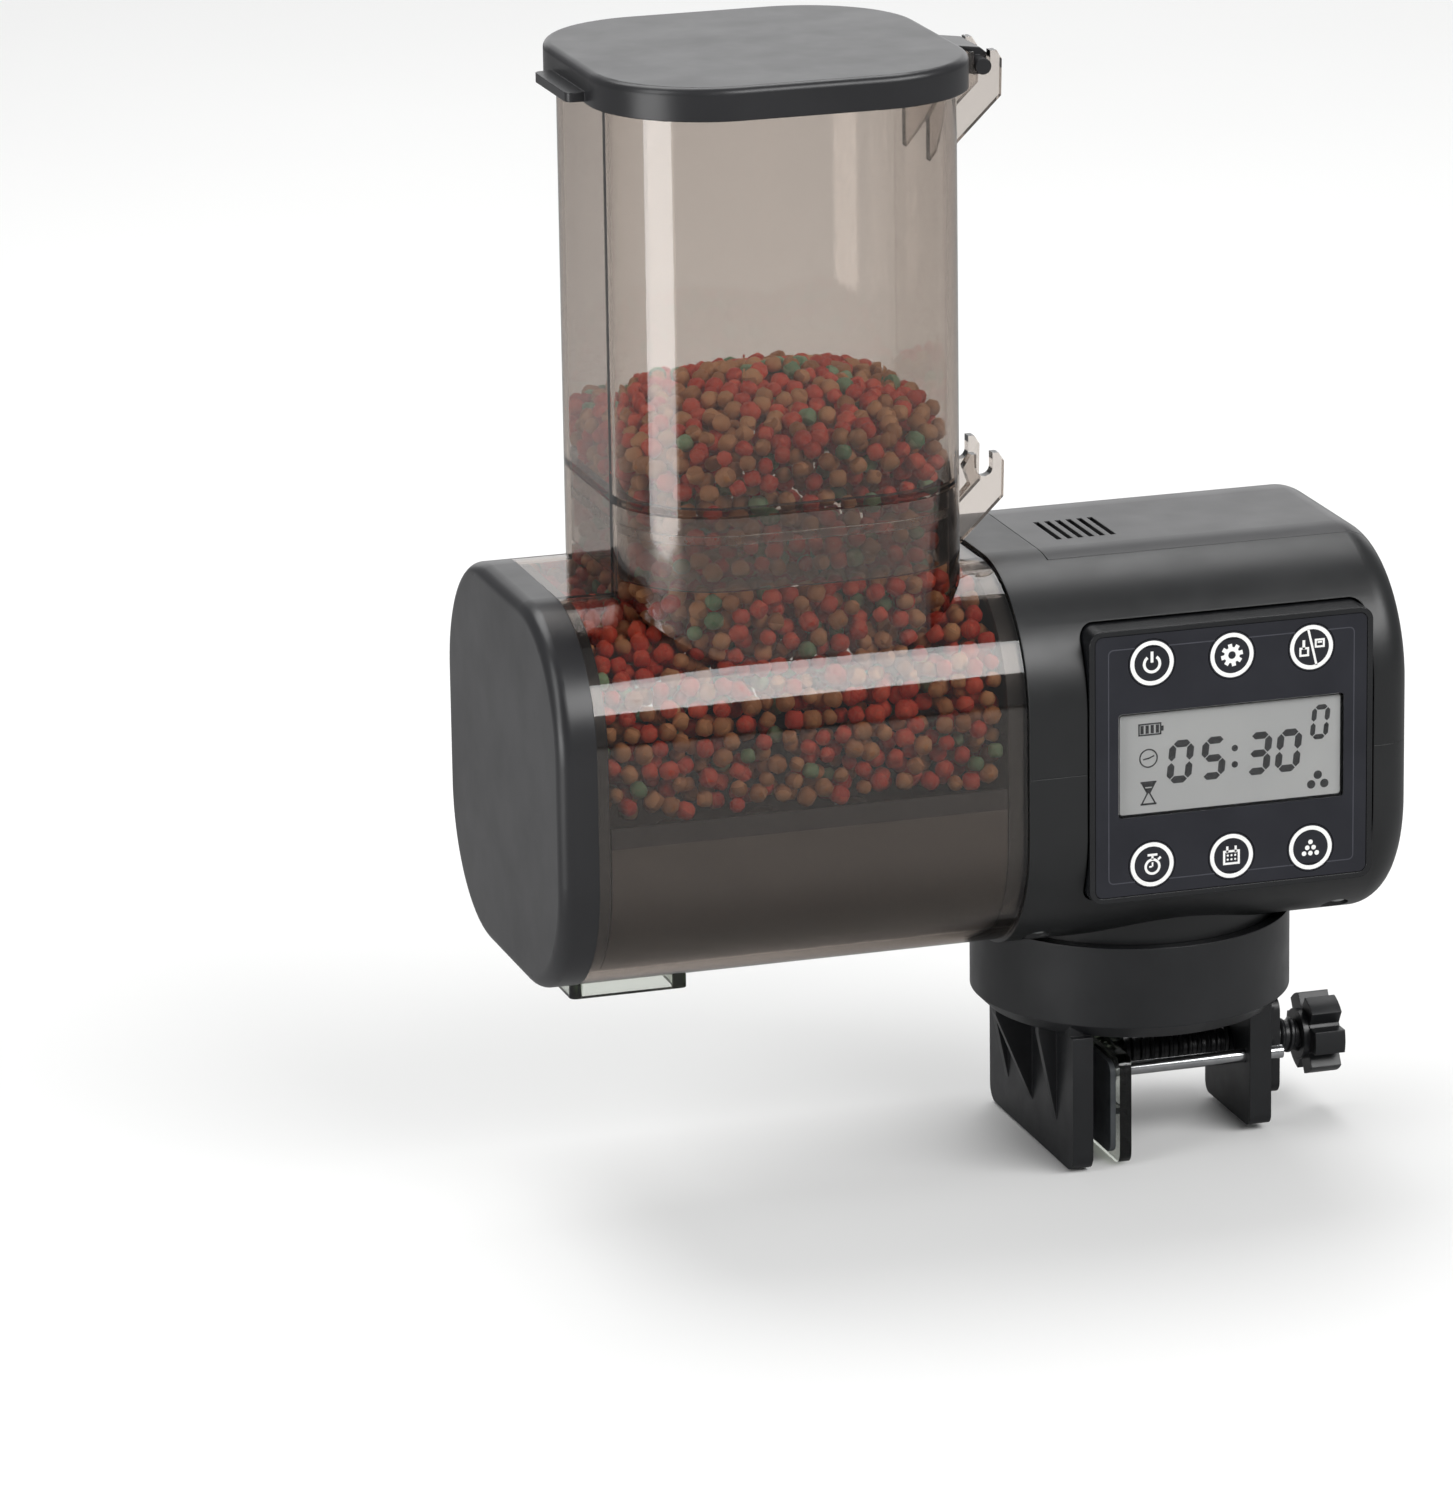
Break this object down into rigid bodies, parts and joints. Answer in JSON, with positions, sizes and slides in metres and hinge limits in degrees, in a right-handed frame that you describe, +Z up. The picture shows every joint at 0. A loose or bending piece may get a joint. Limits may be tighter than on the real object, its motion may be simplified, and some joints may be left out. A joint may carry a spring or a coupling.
{
  "type": "aquarium fish feeder",
  "caption": "Clip-on automatic aquarium feeder with a clear food drum, lift-off smoked hopper with hinged lid, control panel housing, swivel cup and screw clamp.",
  "frame": {"origin": "on the swivel axis, level with the underside of the swivel cup that rests on the tank rim", "axes": "+X along the food drum towards the control housing and the clamp knob, +Y away from the control panel, +Z up"},
  "size_m": [0.1898, 0.0898, 0.2475],
  "materials": {
    "abs_black": "satin moulded black ABS",
    "abs_gloss": "semi-gloss moulded black ABS",
    "smoke_clear": "polished smoke-tinted transparent plastic",
    "jaw_clear": "smoke-tinted translucent plastic",
    "overlay": "dark blue-grey printed overlay",
    "key_print": "dark overlay finish with white print",
    "display": "grey liquid-crystal cell",
    "lens": "clear polished window",
    "steel": "zinc-plated steel",
    "motor_can": "plated motor can",
    "brass": "machined brass",
    "acetal": "natural acetal",
    "silicone": "grey silicone rubber",
    "board": "green solder-masked circuit board",
    "cell_wrap": "plain wrapped alkaline cell"
  },
  "bodies": {
    "clamp_base": {"clamp_body": "abs_black"},
    "clamp_pad": {"pressure_plate": "jaw_clear", "pressure_pad": "silicone", "guide_rods": "steel"},
    "clamp_screw": {"clamp_screw": "abs_gloss", "clamp_knob": "abs_gloss"},
    "feeder": {"swivel_washer": "steel", "swivel_screw": "steel", "housing_lower": "abs_gloss", "housing_upper": "abs_gloss", "housing_screws": "steel", "bulkhead": "abs_black", "gear_plate": "abs_black", "gear_motor": "motor_can", "motor_screws": "steel", "shaft_seal": "silicone", "end_bush": "acetal", "drum_shell": "smoke_clear", "feed_trough": "abs_black", "outlet_chute": "smoke_clear", "end_cap": "abs_black", "panel_bezel": "abs_gloss", "panel_overlay": "overlay", "display_lens": "lens", "display_module": "display", "key_mat": "silicone", "control_board": "board", "battery_tray": "abs_black", "battery_cells": "cell_wrap", "battery_contacts": "steel"},
    "pinion": {"motor_pinion": "brass"},
    "feed_screw": {"feed_screw": "acetal", "feed_shaft": "steel", "feed_gear": "acetal"},
    "hopper": {"hopper_tank": "smoke_clear", "neck_seal": "silicone"},
    "lid": {"hopper_lid": "abs_black"},
    "battery_door": {"battery_door": "abs_black"},
    "key_power": {"key_power": "key_print"},
    "key_settings": {"key_settings": "key_print"},
    "key_mode": {"key_mode": "key_print"},
    "key_timer": {"key_timer": "key_print"},
    "key_schedule": {"key_schedule": "key_print"},
    "key_portion": {"key_portion": "key_print"}
  },
  "joints": [
    {"name": "clamp_screw_turn", "type": "hinge", "parent": "clamp_pad", "child": "clamp_screw", "pos_m": [0, 0, -0.014], "axis": [1, 0, 0], "range_deg": [-828, 1908]},
    {"name": "clamp_pad_slide", "type": "slide", "parent": "clamp_base", "child": "clamp_pad", "axis": [1, 0, 0], "range_m": [-0.0046, 0.0106]},
    {"name": "swivel", "type": "hinge", "parent": "clamp_base", "child": "feeder", "pos_m": [0, 0, 0], "axis": [0, 0, 1], "continuous": true},
    {"name": "feed_screw_turn", "type": "hinge", "parent": "feeder", "child": "feed_screw", "pos_m": [0, 0, 0.039], "axis": [1, 0, 0], "continuous": true},
    {"name": "pinion_turn", "type": "hinge", "parent": "feeder", "child": "pinion", "pos_m": [0, 0.01234, 0.05371], "axis": [1, 0, 0], "continuous": true},
    {"name": "hopper_lift", "type": "slide", "parent": "feeder", "child": "hopper", "axis": [0, 0, 1], "range_m": [0, 0.06]},
    {"name": "lid_hinge", "type": "hinge", "parent": "hopper", "child": "lid", "pos_m": [-0.036, 0, 0.2109], "axis": [0, 1, 0], "range_deg": [0, 110]},
    {"name": "battery_door_slide", "type": "slide", "parent": "feeder", "child": "battery_door", "axis": [1, 0, 0], "range_m": [0, 0.07]},
    {"name": "press_power", "type": "slide", "parent": "feeder", "child": "key_power", "axis": [0, 1, 0], "range_m": [0, 0.0005], "stiffness_N_per_m": 600, "springref_m": -0.0003},
    {"name": "press_settings", "type": "slide", "parent": "feeder", "child": "key_settings", "axis": [0, 1, 0], "range_m": [0, 0.0005], "stiffness_N_per_m": 600, "springref_m": -0.0003},
    {"name": "press_mode", "type": "slide", "parent": "feeder", "child": "key_mode", "axis": [0, 1, 0], "range_m": [0, 0.0005], "stiffness_N_per_m": 600, "springref_m": -0.0003},
    {"name": "press_timer", "type": "slide", "parent": "feeder", "child": "key_timer", "axis": [0, 1, 0], "range_m": [0, 0.0005], "stiffness_N_per_m": 600, "springref_m": -0.0003},
    {"name": "press_schedule", "type": "slide", "parent": "feeder", "child": "key_schedule", "axis": [0, 1, 0], "range_m": [0, 0.0005], "stiffness_N_per_m": 600, "springref_m": -0.0003},
    {"name": "press_portion", "type": "slide", "parent": "feeder", "child": "key_portion", "axis": [0, 1, 0], "range_m": [0, 0.0005], "stiffness_N_per_m": 600, "springref_m": -0.0003}
  ],
  "couplings": [
    {"joint": "clamp_pad_slide", "follows": "clamp_screw_turn", "m_per_rad": 0.00031831},
    {"joint": "pinion_turn", "follows": "feed_screw_turn", "ratio": -2.4286}
  ]
}
